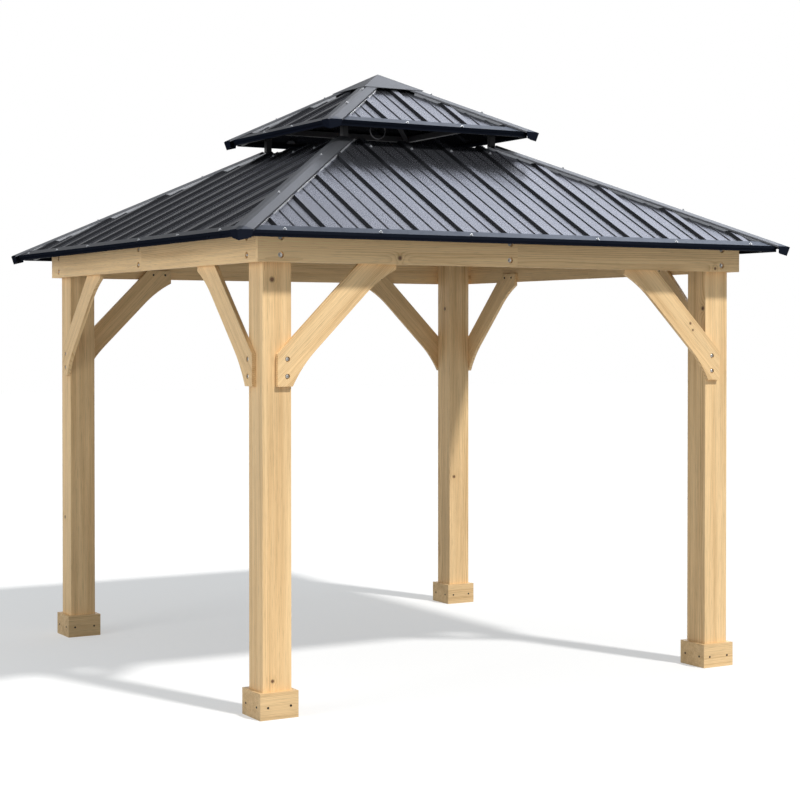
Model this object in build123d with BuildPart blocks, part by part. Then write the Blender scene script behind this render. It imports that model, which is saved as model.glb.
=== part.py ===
from build123d import *
import os
from math import atan, cos, degrees, floor, radians, sin, sqrt, tan

# A square garden gazebo: a timber frame of posts, half-lapped beams and curved braces under a
# two-tier metal roof of ribbed panels. Millimetres, +Z up. The origin is on the ground at the
# centre of the plan, and the front is the side towards -Y.

# Posts and their bases
post_width = 140.0
post_spacing = 2450.0
post_edge_round = 4.0
base_height = 117.0
base_thickness = 22.0

# Beams, and the packers that set them out from the posts
beam_underside = 1984.0
beam_height = 140.0
beam_thickness = 22.0
beam_lap = 80.0
packer_inset = 8.0
packer_recess = 16.0

# Braces
brace_thickness = 20.0
brace_run = 590.0
brace_cheek = 142.0
brace_foot = 72.0
brace_hollow = 31.0
brace_flare = 190.0
brace_over_beam = 50.0
brace_past_centre = 5.0

# Counterbores for the bolts of the beams and of the braces' feet
beam_bore = 30.0
beam_bore_depth = 11.0
beam_bolt_spread = 77.0
brace_bore = 24.0
brace_bore_depth = 9.0
brace_bolt_inset = 47.0
brace_bolt_height = 44.0
brace_bolt_spread = 75.0

# Lower roof
lower_pitch = 27.4
lower_overhang = 153.0
vent_half = 455.0

# Upper roof
upper_pitch = 28.2
upper_overhang = 135.0
vent_clearance = 140.4
peak_half = 120.0

# Ribbed panels
sheet = 1.5
rib_pitch = 233.0
rib_base = 60.0
rib_height = 12.0
rib_flat = 34.0
bead_base = 16.0
bead_flat = 3.0
bead_height = 4.0
eave_border = 30.0
hip_edge_gap = 8.0

# Hip caps
cap_wing = 52.0
cap_crown = 12.0
cap_sheet = 1.5
cap_lip = 6.0
cap_setback = 14.0

# Eave fascias and corner end caps
fascia_depth = 18.0
fascia_setback = 7.0
fascia_sheet = 1.5
fascia_return = 18.0
end_reach = 66.0
end_drop = 52.0
end_overrun = 24.0

# Frame of the lower roof
hip_tube_width = 40.0
hip_tube_depth = 46.0
rafter_width = 30.0
rafter_depth = 34.0
purlin_half = 980.0
purlin_width = 24.0
purlin_depth = 28.0
foot_plate = 90.0
foot_plate_thickness = 4.0
vent_ring_width = 50.0
vent_ring_depth = 30.0
vent_ring_overlap = 15.0

# Frame of the upper roof
vent_post_width = 30.0
vent_post_gap = 5.0
upper_tube_width = 30.0
upper_tube_depth = 34.0
upper_ring_width = 30.0
upper_ring_depth = 30.0

# Peak
hub_half = 35.0
hub_depth = 60.0
hub_top_gap = 12.0
peak_cap_overhang = 57.0
peak_cap_sheet = 2.0
peak_cap_tip = 3.0

# Hanging ring
ring_wire = 6.0
wire_sides = 8
ring_radius = 45.0
eye_radius = 10.0
eye_shank = 130.0

# Gap between pieces that touch
seat = 0.3

# Worked out from the sizes above
post_half = post_width / 2
grid = post_spacing / 2
post_face = grid + post_half
brace_face = post_face + brace_thickness
beam_face = brace_face + beam_thickness
beam_middle = brace_face + beam_thickness / 2
beam_top = beam_underside + beam_height
brace_bottom = beam_underside + brace_over_beam - brace_run
rib_top = sheet + rib_height
lower_slope = tan(radians(lower_pitch))
upper_slope = tan(radians(upper_pitch))
hip_seat = hip_tube_depth + hip_tube_width / 2 * lower_slope / sqrt(2) + 2 * seat
lower_eave_half = beam_face + lower_overhang
lower_eave_height = beam_top + hip_seat - lower_overhang * lower_slope
upper_eave_half = vent_half + upper_overhang
upper_eave_height = lower_eave_height + (lower_eave_half - upper_eave_half) * lower_slope + vent_clearance
peak_cap_half = peak_half + peak_cap_overhang
vent_ring_outer = vent_half + vent_ring_overlap
vent_post_outer = vent_half - vent_post_gap
vent_post_centre = vent_post_outer - vent_post_width / 2
side_angles = {"front": 0, "right": 90, "back": 180, "left": 270}
corner_angles = [angle + 45 for angle in side_angles.values()]

os.makedirs("parts", exist_ok=True)


def lower_roof(half):
    """Height of the underside of the lower panels at a distance from the middle."""
    return lower_eave_height + (lower_eave_half - half) * lower_slope


def upper_roof(half):
    """Height of the underside of the upper panels at a distance from the middle."""
    return upper_eave_height + (upper_eave_half - half) * upper_slope


def cap_lift(slope):
    """How far the folded hip cap lies above the underside of the panels."""
    return (rib_top + cap_lip + seat) * sqrt(1 + slope**2)


def hip_drop(slope, offset):
    """How far a panel lies below its hip, at a distance across from it."""
    return offset * slope / sqrt(2)


def rafter_end(eave_half, slope, depth):
    """Where a hip rafter of some depth ends, so that the fascias hide it."""
    return eave_half - fascia_setback - (depth - fascia_depth) / slope


def facing(angle, out, height):
    """An upright plane that faces outwards on the side at an angle, with x to the right."""
    c = cos(radians(angle))
    s = sin(radians(angle))
    return Plane(origin=(out * s, -out * c, height), x_dir=(c, s, 0), z_dir=(s, -c, 0))


def across_hip(angle, half, height):
    """An upright plane across a hip, where the roof is a given half width."""
    return facing(angle, half * sqrt(2), height)


def side_profile(along):
    """An upright plane on the front side, with x outwards and y up, facing to the left."""
    return Plane(origin=(along, 0, 0), x_dir=(0, -1, 0), z_dir=(-1, 0, 0))


def save(part, label):
    """Name a finished piece and write it to its own file."""
    part.label = label
    export_step(part, "parts/" + label + ".step")


# Posts
def make_post(x, y):
    with BuildPart() as post:
        with BuildSketch(Plane.XY):
            with Locations((x, y)):
                Rectangle(post_width, post_width)
        extrude(amount=beam_top)
        fillet(post.edges().filter_by(Axis.Z), radius=post_edge_round)
    return post.part


# Post bases: four boards round a post, the front and back ones over the ends of the others
def make_base(x, y):
    outer = post_half + seat + base_thickness
    offset_out = post_half + seat + base_thickness / 2
    with BuildPart() as base:
        with BuildSketch(Plane.XY):
            with Locations((x, y - offset_out), (x, y + offset_out)):
                Rectangle(2 * outer, base_thickness)
            with Locations((x - offset_out, y), (x + offset_out, y)):
                Rectangle(base_thickness, post_width)
        extrude(amount=base_height)
    return base.part


# Beams: half-lapped at mid-span, where the left half's tongue is outside, and counterbored for bolts
def make_beam(angle, reach, left):
    lap_face = -beam_middle
    bolt_lines = (-grid, -beam_lap / 2) if left else (grid,)
    with BuildPart() as beam:
        with BuildSketch(Plane.XY.offset(beam_underside)):
            with BuildLine():
                if left:
                    Polyline(
                        (-reach, -beam_face),
                        (-seat, -beam_face),
                        (-seat, lap_face - seat),
                        (-beam_lap, lap_face - seat),
                        (-beam_lap, -brace_face),
                        (-reach, -brace_face),
                        close=True,
                    )
                else:
                    Polyline(
                        (reach, -beam_face),
                        (0, -beam_face),
                        (0, lap_face),
                        (seat - beam_lap, lap_face),
                        (seat - beam_lap, -brace_face),
                        (reach, -brace_face),
                        close=True,
                    )
            make_face()
        extrude(amount=beam_height)
        with Locations(facing(0, beam_face, beam_underside + beam_height / 2)):
            for along in bolt_lines:
                with Locations((along, -beam_bolt_spread / 2), (along, beam_bolt_spread / 2)):
                    Hole(beam_bore / 2, depth=beam_bore_depth)
    return beam.part.rotate(Axis.Z, angle)


# Packers between the posts and the beams
def make_packers():
    width = post_width - 2 * packer_inset
    height = beam_height - packer_recess
    with BuildPart() as packers:
        for angle in side_angles.values():
            with BuildSketch(facing(angle, post_face + seat, beam_top - height / 2)):
                with Locations((-grid, 0), (grid, 0)):
                    Rectangle(width, height)
            extrude(amount=brace_thickness - 2 * seat)
    return packers.part


# Braces: a straight back at 45 degrees, and an inner edge that flares out to the foot and the head
def make_braces(angle):
    start = -grid - brace_past_centre
    foot = (start + brace_foot, 0)
    head = (start + brace_run, brace_run - brace_foot)
    along = brace_flare / sqrt(2)
    bend = brace_hollow / sqrt(2)
    foot_bend = (foot[0] + along - bend, foot[1] + along + bend)
    head_bend = (head[0] - along - bend, head[1] - along + bend)
    with BuildPart() as braces:
        with BuildSketch(facing(angle, post_face + seat, brace_bottom)):
            with BuildLine():
                Polyline(
                    head,
                    (start + brace_run, brace_run),
                    (start + brace_run - brace_cheek, brace_run),
                    (start, brace_cheek),
                    (start, 0),
                    foot,
                )
                TangentArc(foot_bend, foot, tangent=(-1, -1))
                Line(foot_bend, head_bend)
                TangentArc(head_bend, head, tangent=(1, 1))
            make_face()
            mirror(about=Plane.YZ)
        extrude(amount=brace_thickness - 2 * seat)
        bolt = start + brace_bolt_inset
        with Locations(facing(angle, brace_face - seat, brace_bottom + brace_bolt_height)):
            with Locations((bolt, 0), (bolt, brace_bolt_spread), (-bolt, 0), (-bolt, brace_bolt_spread)):
                Hole(brace_bore / 2, depth=brace_bore_depth)
    return braces.part


# Ribbed panel of the front side, on a sloping plane with x along the eave and y up the slope.
# Its ribs lie on both sides of its middle, or one lies on the middle.
def make_panel(eave_half, eave_height, pitch, top_half, rib_in_middle):
    rise = radians(pitch)
    length = (eave_half - top_half) / cos(rise)
    slope = Plane(
        origin=(0, -eave_half, eave_height),
        x_dir=(1, 0, 0),
        z_dir=(0, -sin(rise), cos(rise)),
    )
    foot = eave_half - hip_edge_gap
    head = top_half - hip_edge_gap
    pitches = (foot - eave_border) / rib_pitch
    rib_count = 2 * floor(pitches) + 1 if rib_in_middle else 2 * floor(pitches + 1 / 2)
    first = -(rib_count - 1) / 2 * rib_pitch
    middle = eave_border + length / 2
    ribs = [(first + index * rib_pitch, middle) for index in range(rib_count)]
    beads = []
    for index in range(-1, rib_count):
        for share in (1 / 3, 2 / 3):
            place = first + (index + share) * rib_pitch
            if abs(place) < foot - eave_border:
                beads.append((place, middle))
    rib_taper = degrees(atan((rib_base - rib_flat) / 2 / rib_height))
    bead_taper = degrees(atan((bead_base - bead_flat) / 2 / bead_height))
    with BuildPart() as outline:
        with BuildSketch(slope):
            with BuildLine():
                Polyline((-foot, 0), (foot, 0), (head, length), (-head, length), close=True)
            make_face()
        extrude(amount=2 * rib_top)
    with BuildPart() as panel:
        with BuildSketch(slope):
            with BuildLine():
                Polyline((-foot, 0), (foot, 0), (head, length), (-head, length), close=True)
            make_face()
        extrude(amount=sheet)
        with BuildSketch(slope.offset(sheet)):
            with Locations(*ribs):
                Rectangle(rib_base, length)
        extrude(amount=rib_height, taper=rib_taper)
        with BuildSketch(slope.offset(sheet)):
            with Locations(*beads):
                Rectangle(bead_base, length)
        extrude(amount=bead_height, taper=bead_taper)
        with BuildSketch(slope):
            with Locations(*ribs):
                Rectangle(rib_base - 2 * sheet, length)
        extrude(amount=rib_height, taper=rib_taper, mode=Mode.SUBTRACT)
        add(outline.part, mode=Mode.INTERSECT)
    return panel.part


# Hip caps: a folded strip over the ribs, with a flat crown and a lip turned down along each edge
def make_hip_caps(eave_half, top_half, roof, slope):
    outer = eave_half - cap_setback
    edge = cap_wing - cap_sheet
    thick = cap_sheet * sqrt(1 + slope**2)
    crown_drop = hip_drop(slope, cap_crown)
    drop = hip_drop(slope, cap_wing)
    inner_drop = hip_drop(slope, edge)
    with BuildPart() as caps:
        for angle in corner_angles:
            for half in (outer, top_half):
                with BuildSketch(across_hip(angle, half, roof(half) + cap_lift(slope))):
                    with BuildLine():
                        Polyline(
                            (-cap_crown, -crown_drop),
                            (cap_crown, -crown_drop),
                            (edge, -inner_drop),
                            (edge, -drop - cap_lip),
                            (cap_wing, -drop - cap_lip),
                            (cap_wing, thick - drop),
                            (cap_crown, thick - crown_drop),
                            (-cap_crown, thick - crown_drop),
                            (-cap_wing, thick - drop),
                            (-cap_wing, -drop - cap_lip),
                            (-edge, -drop - cap_lip),
                            (-edge, -inner_drop),
                            close=True,
                        )
                    make_face()
            loft()
    return caps.part


# Eave fascias: an upright strip with a return along its foot
def make_fascias(eave_half, roof):
    face = eave_half - fascia_setback
    top = roof(face) - seat
    foot = top - fascia_depth
    end = eave_half + end_overrun - end_reach
    with BuildPart() as fascia:
        with BuildSketch(side_profile(end)):
            with BuildLine():
                Polyline(
                    (face, top),
                    (face, foot),
                    (face - fascia_return, foot),
                    (face - fascia_return, foot + fascia_sheet),
                    (face - fascia_sheet, foot + fascia_sheet),
                    (face - fascia_sheet, top),
                    close=True,
                )
            make_face()
        extrude(amount=2 * end)
    with BuildPart() as fascias:
        for angle in side_angles.values():
            add(fascia.part.rotate(Axis.Z, angle))
    return fascias.part


# Corner end caps: a box that carries on the hip cap to a point, with its two faces along the
# eaves. They lean inwards to their foot, square to the hip, and wrap round the panels' corner.
def make_end_caps(eave_half, roof, slope):
    tip = eave_half + end_overrun
    back = eave_half - cap_setback + seat
    thick = cap_sheet * sqrt(1 + slope**2)
    crown_drop = hip_drop(slope, cap_crown)
    drop = hip_drop(slope, cap_wing)
    top = roof(tip) + cap_lift(slope) + thick - crown_drop
    wrapped = eave_half + sheet * slope + seat
    with BuildPart() as end:
        for half in (tip + cap_wing, back):
            with BuildSketch(across_hip(corner_angles[0], half, roof(half) + cap_lift(slope))):
                with BuildLine():
                    Polyline(
                        (-cap_crown, thick - crown_drop),
                        (cap_crown, thick - crown_drop),
                        (cap_wing, thick - drop),
                        (cap_wing, -end_drop),
                        (-cap_wing, -end_drop),
                        (-cap_wing, thick - drop),
                        close=True,
                    )
                make_face()
        loft()
        split(bisect_by=Plane(origin=(tip, -tip, top), z_dir=(0, -1, -slope / 2)), keep=Keep.BOTTOM)
        split(bisect_by=Plane(origin=(tip, -tip, top), z_dir=(1, 0, -slope / 2)), keep=Keep.BOTTOM)
        with BuildSketch(Plane.XY.offset(roof(back) + bead_height)):
            Rectangle(2 * wrapped, 2 * wrapped)
        extrude(amount=-2 * end_drop, mode=Mode.SUBTRACT)
    with BuildPart() as ends:
        for angle in side_angles.values():
            add(end.part.rotate(Axis.Z, angle))
    return ends.part


# Hip rafters of the lower roof, each on a foot that stands on a post
def make_hip_rafters():
    inner = vent_ring_outer + seat
    top_drop = hip_drop(lower_slope, hip_tube_width / 2) + seat
    outer = rafter_end(lower_eave_half, lower_slope, top_drop + hip_tube_depth)
    underside = lower_roof(grid) - top_drop - hip_tube_depth
    with BuildPart() as rafters:
        for angle in corner_angles:
            for half in (outer, inner):
                height = lower_roof(half) - top_drop - hip_tube_depth / 2
                with BuildSketch(across_hip(angle, half, height)):
                    Rectangle(hip_tube_width, hip_tube_depth)
            loft()
            corner = across_hip(angle, grid, beam_top + seat)
            plate = Plane(origin=corner.origin, x_dir=corner.x_dir, z_dir=(0, 0, 1))
            with BuildSketch(plate):
                Rectangle(hip_tube_width, hip_tube_width)
            extrude(amount=underside + hip_tube_depth / 2 - beam_top)
            with BuildSketch(plate):
                Rectangle(foot_plate, foot_plate)
            extrude(amount=foot_plate_thickness)
    return rafters.part


# Middle rafters of the lower roof, each with a heel on the fascia and a foot on the beams
def make_middle_rafters():
    outer = lower_eave_half - fascia_setback - fascia_sheet - seat
    inner = vent_ring_outer + seat
    heel = lower_roof(lower_eave_half - fascia_setback) - fascia_depth + fascia_sheet
    heel_out = lower_eave_half - (heel + seat + rafter_depth - lower_eave_height) / lower_slope
    foot_out = beam_middle + beam_thickness / 2 - seat
    foot_in = beam_middle - beam_thickness / 2 + seat
    with BuildPart() as rafter:
        with BuildSketch(side_profile(rafter_width / 2)):
            with BuildLine():
                Polyline(
                    (outer, lower_roof(outer) - seat),
                    (outer, heel + seat),
                    (heel_out, heel + seat),
                    (foot_out, lower_roof(foot_out) - rafter_depth),
                    (foot_out, beam_top + seat),
                    (foot_in, beam_top + seat),
                    (foot_in, lower_roof(foot_in) - rafter_depth),
                    (inner, lower_roof(inner) - rafter_depth),
                    (inner, lower_roof(inner) - seat),
                    close=True,
                )
            make_face()
        extrude(amount=rafter_width)
    with BuildPart() as rafters:
        for angle in side_angles.values():
            add(rafter.part.rotate(Axis.Z, angle))
    return rafters.part


# Purlins between the hip rafters and the middle rafters
def make_purlins():
    outer = purlin_half + purlin_width / 2
    inner = purlin_half - purlin_width / 2
    beside = rafter_width / 2 + seat
    hip_side = hip_tube_width / sqrt(2) + seat * sqrt(2)
    with BuildPart() as pair:
        with BuildSketch(side_profile(purlin_half)):
            with BuildLine():
                Polyline(
                    (outer, lower_roof(outer) - seat),
                    (outer, lower_roof(outer) - purlin_depth),
                    (inner, lower_roof(inner) - purlin_depth),
                    (inner, lower_roof(inner) - seat),
                    close=True,
                )
            make_face()
        extrude(amount=purlin_half - beside)
        hip_cut = Plane(origin=(-hip_side, 0, 0), x_dir=(0, 0, 1), z_dir=(1, 1, 0))
        split(bisect_by=hip_cut, keep=Keep.BOTTOM)
        mirror(about=Plane.YZ)
    with BuildPart() as purlins:
        for angle in side_angles.values():
            add(pair.part.rotate(Axis.Z, angle))
    return purlins.part


# Ring round the vent opening: four mitred tubes
def make_vent_ring():
    outer = vent_ring_outer
    inner = outer - vent_ring_width
    mitre = seat / sqrt(2)
    with BuildPart() as tube:
        with BuildSketch(Plane.XY.offset(lower_roof(outer) - seat)):
            with BuildLine():
                Polyline(
                    (mitre - outer, -outer),
                    (outer - mitre, -outer),
                    (inner - mitre, -inner),
                    (mitre - inner, -inner),
                    close=True,
                )
            make_face()
        extrude(amount=-vent_ring_depth)
    with BuildPart() as ring:
        for angle in side_angles.values():
            add(tube.part.rotate(Axis.Z, angle))
    return ring.part


# Vent posts from the ring up to the upper hip rafters
def make_vent_posts():
    start = lower_roof(vent_ring_outer)
    top_drop = hip_drop(upper_slope, upper_tube_width / 2) + seat
    end = upper_roof(vent_post_outer) - top_drop - upper_tube_depth - seat
    with BuildPart() as posts:
        with BuildSketch(Plane.XY.offset(start)):
            with GridLocations(2 * vent_post_centre, 2 * vent_post_centre, 2, 2):
                Rectangle(vent_post_width, vent_post_width)
        extrude(amount=end - start)
    return posts.part


# Rafters of the upper roof, which meet at the hub
def make_upper_rafters():
    inner = (hub_half + seat) / sqrt(2)
    top_drop = hip_drop(upper_slope, upper_tube_width / 2) + seat
    outer = rafter_end(upper_eave_half, upper_slope, top_drop + upper_tube_depth)
    with BuildPart() as rafters:
        for angle in corner_angles:
            for half in (outer, inner):
                height = upper_roof(half) - top_drop - upper_tube_depth / 2
                with BuildSketch(across_hip(angle, half, height)):
                    Rectangle(upper_tube_width, upper_tube_depth)
            loft()
    return rafters.part


# Ring of the upper roof: four tubes between the rafters
def make_upper_ring():
    outer = vent_post_outer
    inner = outer - upper_ring_width
    hip_side = upper_tube_width / sqrt(2) + seat * sqrt(2)
    with BuildPart() as tube:
        with BuildSketch(Plane.XY.offset(upper_roof(outer) - seat)):
            with BuildLine():
                Polyline(
                    (hip_side - outer, -outer),
                    (outer - hip_side, -outer),
                    (inner - hip_side, -inner),
                    (hip_side - inner, -inner),
                    close=True,
                )
            make_face()
        extrude(amount=-upper_ring_depth)
    with BuildPart() as ring:
        for angle in side_angles.values():
            add(tube.part.rotate(Axis.Z, angle))
    return ring.part


# Hub where the upper rafters meet
hub_top = upper_roof(hub_half) - hub_top_gap
hub_underside = hub_top - hub_depth


def make_hub():
    with BuildPart() as hub:
        with BuildSketch(Plane.XY.offset(hub_underside)):
            Rectangle(2 * hub_half, 2 * hub_half, rotation=45)
        extrude(amount=hub_depth)
    return hub.part


# Eye on a long shank, and the ring that hangs in it
def make_hanging_ring():
    wire = ring_wire / 2
    eye_height = hub_underside - seat - eye_shank
    ring_height = eye_height - eye_radius + 2 * wire + seat - ring_radius
    with BuildPart() as ring:
        with BuildSketch(Plane.XY.offset(hub_underside - seat)):
            RegularPolygon(wire, wire_sides)
        extrude(amount=eye_radius - eye_shank)
        with BuildSketch(Plane.XZ):
            with Locations((0, eye_height + eye_radius)):
                RegularPolygon(wire, wire_sides)
        revolve(axis=Axis((0, 0, eye_height), (1, 0, 0)))
        with BuildSketch(Plane.YZ):
            with Locations((0, ring_height + ring_radius)):
                RegularPolygon(wire, wire_sides)
        revolve(axis=Axis((0, 0, ring_height), (0, 1, 0)))
    return ring.part


# Pyramid cap on the peak, which rests on the hip caps
def make_peak_cap():
    lift = cap_lift(upper_slope) + (cap_sheet + seat) * sqrt(1 + upper_slope**2)
    thick = peak_cap_sheet * sqrt(1 + upper_slope**2)
    rim = upper_roof(peak_cap_half) + lift
    height = (peak_cap_half - peak_cap_tip) * upper_slope
    with BuildPart() as cap:
        with BuildSketch(Plane.XY.offset(rim + thick)):
            Rectangle(2 * peak_cap_half, 2 * peak_cap_half)
        extrude(amount=height, taper=90 - upper_pitch)
        with BuildSketch(Plane.XY.offset(rim)):
            Rectangle(2 * peak_cap_half, 2 * peak_cap_half)
        extrude(amount=thick)
        with BuildSketch(Plane.XY.offset(rim)):
            Rectangle(2 * peak_cap_half, 2 * peak_cap_half)
        extrude(amount=height, taper=90 - upper_pitch, mode=Mode.SUBTRACT)
    return cap.part


for x, y, name in (
    (-grid, -grid, "front_left"),
    (grid, -grid, "front_right"),
    (-grid, grid, "back_left"),
    (grid, grid, "back_right"),
):
    save(make_post(x, y), "post_" + name)
    save(make_base(x, y), "post_base_" + name)

for side, angle in side_angles.items():
    reach = beam_face if side in ("front", "back") else brace_face - seat
    save(make_beam(angle, reach, True), "beam_" + side + "_a")
    save(make_beam(angle, reach, False), "beam_" + side + "_b")
    save(make_braces(angle), "braces_" + side)

save(make_packers(), "beam_packers")

lower_panel = make_panel(lower_eave_half, lower_eave_height, lower_pitch, vent_half, False)
upper_panel = make_panel(upper_eave_half, upper_eave_height, upper_pitch, peak_half, True)
for side, angle in side_angles.items():
    save(lower_panel.rotate(Axis.Z, angle), "lower_panel_" + side)
    save(upper_panel.rotate(Axis.Z, angle), "upper_panel_" + side)

save(make_hip_caps(lower_eave_half, vent_half, lower_roof, lower_slope), "lower_hip_caps")
save(make_hip_caps(upper_eave_half, peak_half, upper_roof, upper_slope), "upper_hip_caps")
save(make_fascias(lower_eave_half, lower_roof), "lower_fascias")
save(make_fascias(upper_eave_half, upper_roof), "upper_fascias")
save(make_end_caps(lower_eave_half, lower_roof, lower_slope), "lower_end_caps")
save(make_end_caps(upper_eave_half, upper_roof, upper_slope), "upper_end_caps")
save(make_hip_rafters(), "hip_rafters")
save(make_middle_rafters(), "middle_rafters")
save(make_purlins(), "purlins")
save(make_vent_ring(), "vent_ring")
save(make_vent_posts(), "vent_posts")
save(make_upper_rafters(), "upper_rafters")
save(make_upper_ring(), "upper_ring")
save(make_hub(), "peak_hub")
save(make_hanging_ring(), "hanging_ring")
save(make_peak_cap(), "peak_cap")
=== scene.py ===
import math
import random

import bpy
from bpy.props import FloatProperty, FloatVectorProperty, IntProperty, PointerProperty
from bpy.types import Operator, Panel, PropertyGroup
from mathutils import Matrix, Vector


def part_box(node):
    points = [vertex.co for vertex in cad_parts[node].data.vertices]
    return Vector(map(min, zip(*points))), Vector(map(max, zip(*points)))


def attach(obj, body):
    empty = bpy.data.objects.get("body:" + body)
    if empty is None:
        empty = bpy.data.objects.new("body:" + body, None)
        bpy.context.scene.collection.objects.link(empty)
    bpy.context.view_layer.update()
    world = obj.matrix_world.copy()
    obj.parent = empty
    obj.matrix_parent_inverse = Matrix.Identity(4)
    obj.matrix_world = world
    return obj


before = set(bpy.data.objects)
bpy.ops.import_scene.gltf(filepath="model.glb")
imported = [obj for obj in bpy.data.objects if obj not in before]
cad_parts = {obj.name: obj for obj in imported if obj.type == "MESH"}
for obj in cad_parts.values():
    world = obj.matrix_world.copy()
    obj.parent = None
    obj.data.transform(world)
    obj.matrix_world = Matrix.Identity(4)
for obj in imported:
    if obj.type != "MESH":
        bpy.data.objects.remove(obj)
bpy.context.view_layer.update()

bl_info = {
    "name": "Garden Gazebo Finish",
    "version": (1, 0, 0),
    "blender": (4, 5, 0),
    "location": "3D View > Sidebar > Gazebo",
    "description": "Finishes the timber, the ribbed roof and the fastenings of a square garden gazebo",
    "category": "Object",
}

SIDES = ("front", "right", "back", "left")
POSTS = ("front_left", "front_right", "back_left", "back_right")
HALVES = ("a", "b")


# Sizes and colours that a user would change


class TimberSettings(PropertyGroup):
    """Colour and grain of the softwood"""

    early_colour: FloatVectorProperty(
        name="Early wood", description="Pale wood between the rings", subtype="COLOR",
        size=3, min=0, max=1, default=(0.88, 0.62, 0.33),
    )
    late_colour: FloatVectorProperty(
        name="Late wood", description="Darker wood of the rings", subtype="COLOR",
        size=3, min=0, max=1, default=(0.60, 0.37, 0.165),
    )
    knot_colour: FloatVectorProperty(
        name="Knot", description="Heart of a knot", subtype="COLOR",
        size=3, min=0, max=1, default=(0.17, 0.085, 0.04),
    )
    ring_spacing: FloatProperty(
        name="Ring spacing", description="Distance between growth rings", unit="LENGTH",
        min=0.001, default=0.0055,
    )
    tone: FloatProperty(
        name="Tone", description="Overall lightness of the wood", min=0, default=1.08,
    )
    roughness: FloatProperty(
        name="Roughness", description="Roughness of the planed faces", subtype="FACTOR",
        min=0, max=1, default=0.55,
    )


class RoofSettings(PropertyGroup):
    """Colour and finish of the roof sheets, caps and eaves"""

    sheet_colour: FloatVectorProperty(
        name="Sheet", description="Charcoal paint of the ribbed panels", subtype="COLOR",
        size=3, min=0, max=1, default=(0.096, 0.100, 0.114),
    )
    cap_colour: FloatVectorProperty(
        name="Caps", description="Charcoal paint of the hip caps and the peak cap", subtype="COLOR",
        size=3, min=0, max=1, default=(0.115, 0.120, 0.132),
    )
    eave_colour: FloatVectorProperty(
        name="Eaves", description="Blue-black paint of the fascias and end caps", subtype="COLOR",
        size=3, min=0, max=1, default=(0.012, 0.015, 0.024),
    )
    # Painted light: the paler colour of the eaves' faces that turn up
    top_light_colour: FloatVectorProperty(
        name="Lit eave tops", description="Paler paint of the eaves' tops, as painted light",
        subtype="COLOR", size=3, min=0, max=1, default=(0.062, 0.067, 0.078),
    )
    frame_colour: FloatVectorProperty(
        name="Frame", description="Black paint of the tubes under the roof", subtype="COLOR",
        size=3, min=0, max=1, default=(0.012, 0.012, 0.014),
    )
    sheet_roughness: FloatProperty(
        name="Sheet roughness", description="Roughness of the painted sheet", subtype="FACTOR",
        min=0, max=1, default=0.25,
    )
    cap_roughness: FloatProperty(
        name="Cap roughness", description="Roughness of the painted caps", subtype="FACTOR",
        min=0, max=1, default=0.45,
    )
    sheet_metal: FloatProperty(
        name="Sheet metal", description="How metallic the sheet's paint looks", subtype="FACTOR",
        min=0, max=1, default=0.8,
    )
    edge_gloss: FloatProperty(
        name="Edge gloss", description="How bright the paint's gloss is at a grazing angle",
        subtype="FACTOR", min=0, max=1, default=0.36,
    )
    ring_colour: FloatVectorProperty(
        name="Hanging ring", description="Bare steel of the hanging ring", subtype="COLOR",
        size=3, min=0, max=1, default=(0.13, 0.13, 0.14),
    )
    closure_colour: FloatVectorProperty(
        name="Closures", description="Bare zinc of the strips under the hip caps", subtype="COLOR",
        size=3, min=0, max=1, default=(0.80, 0.81, 0.84),
    )


class FasteningSettings(PropertyGroup):
    """Sizes and colours of the bolts and screws"""

    bolt_width: FloatProperty(
        name="Bolt washer", description="Width of the washers in the beams' counterbores",
        unit="LENGTH", min=0.001, default=0.021,
    )
    bolt_height: FloatProperty(
        name="Bolt height", description="Height of a beam bolt's head with its washer",
        unit="LENGTH", min=0.001, default=0.0095,
    )
    foot_bolt_width: FloatProperty(
        name="Brace bolt", description="Width of the domed bolts in the braces' feet",
        unit="LENGTH", min=0.001, default=0.021,
    )
    foot_bolt_height: FloatProperty(
        name="Brace bolt height", description="Height of the domed bolts in the braces' feet",
        unit="LENGTH", min=0.001, default=0.0075,
    )
    head_screw_width: FloatProperty(
        name="Brace screw", description="Width of the screws at the braces' heads",
        unit="LENGTH", min=0.001, default=0.012,
    )
    head_screw_height: FloatProperty(
        name="Brace screw height", description="Height of the screws at the braces' heads",
        unit="LENGTH", min=0.001, default=0.003,
    )
    skirt_screw_width: FloatProperty(
        name="Skirt screw", description="Width of the screws in the boards round the posts' feet",
        unit="LENGTH", min=0.001, default=0.0105,
    )
    skirt_screw_height: FloatProperty(
        name="Skirt screw height", description="Height of the screws round the posts' feet",
        unit="LENGTH", min=0.001, default=0.0016,
    )
    roof_screw_width: FloatProperty(
        name="Roof screw", description="Width of the roof screws with their washers",
        unit="LENGTH", min=0.001, default=0.015,
    )
    roof_screw_height: FloatProperty(
        name="Roof screw height", description="Height of the roof screws with their washers",
        unit="LENGTH", min=0.001, default=0.0065,
    )
    turn_seed: IntProperty(
        name="Turn seed", description="Seed for how far each head is turned", min=0, default=7,
    )
    bolt_colour: FloatVectorProperty(
        name="Bolts", description="Zinc of the bolts in the timber", subtype="COLOR", size=3,
        min=0, max=1, default=(0.42, 0.41, 0.39),
    )
    dark_colour: FloatVectorProperty(
        name="Dark screws", description="Blackened screws in the timber", subtype="COLOR", size=3,
        min=0, max=1, default=(0.03, 0.026, 0.022),
    )
    roof_screw_colour: FloatVectorProperty(
        name="Roof screws", description="Grey paint of the roof screws", subtype="COLOR", size=3,
        min=0, max=1, default=(0.30, 0.31, 0.33),
    )


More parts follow.
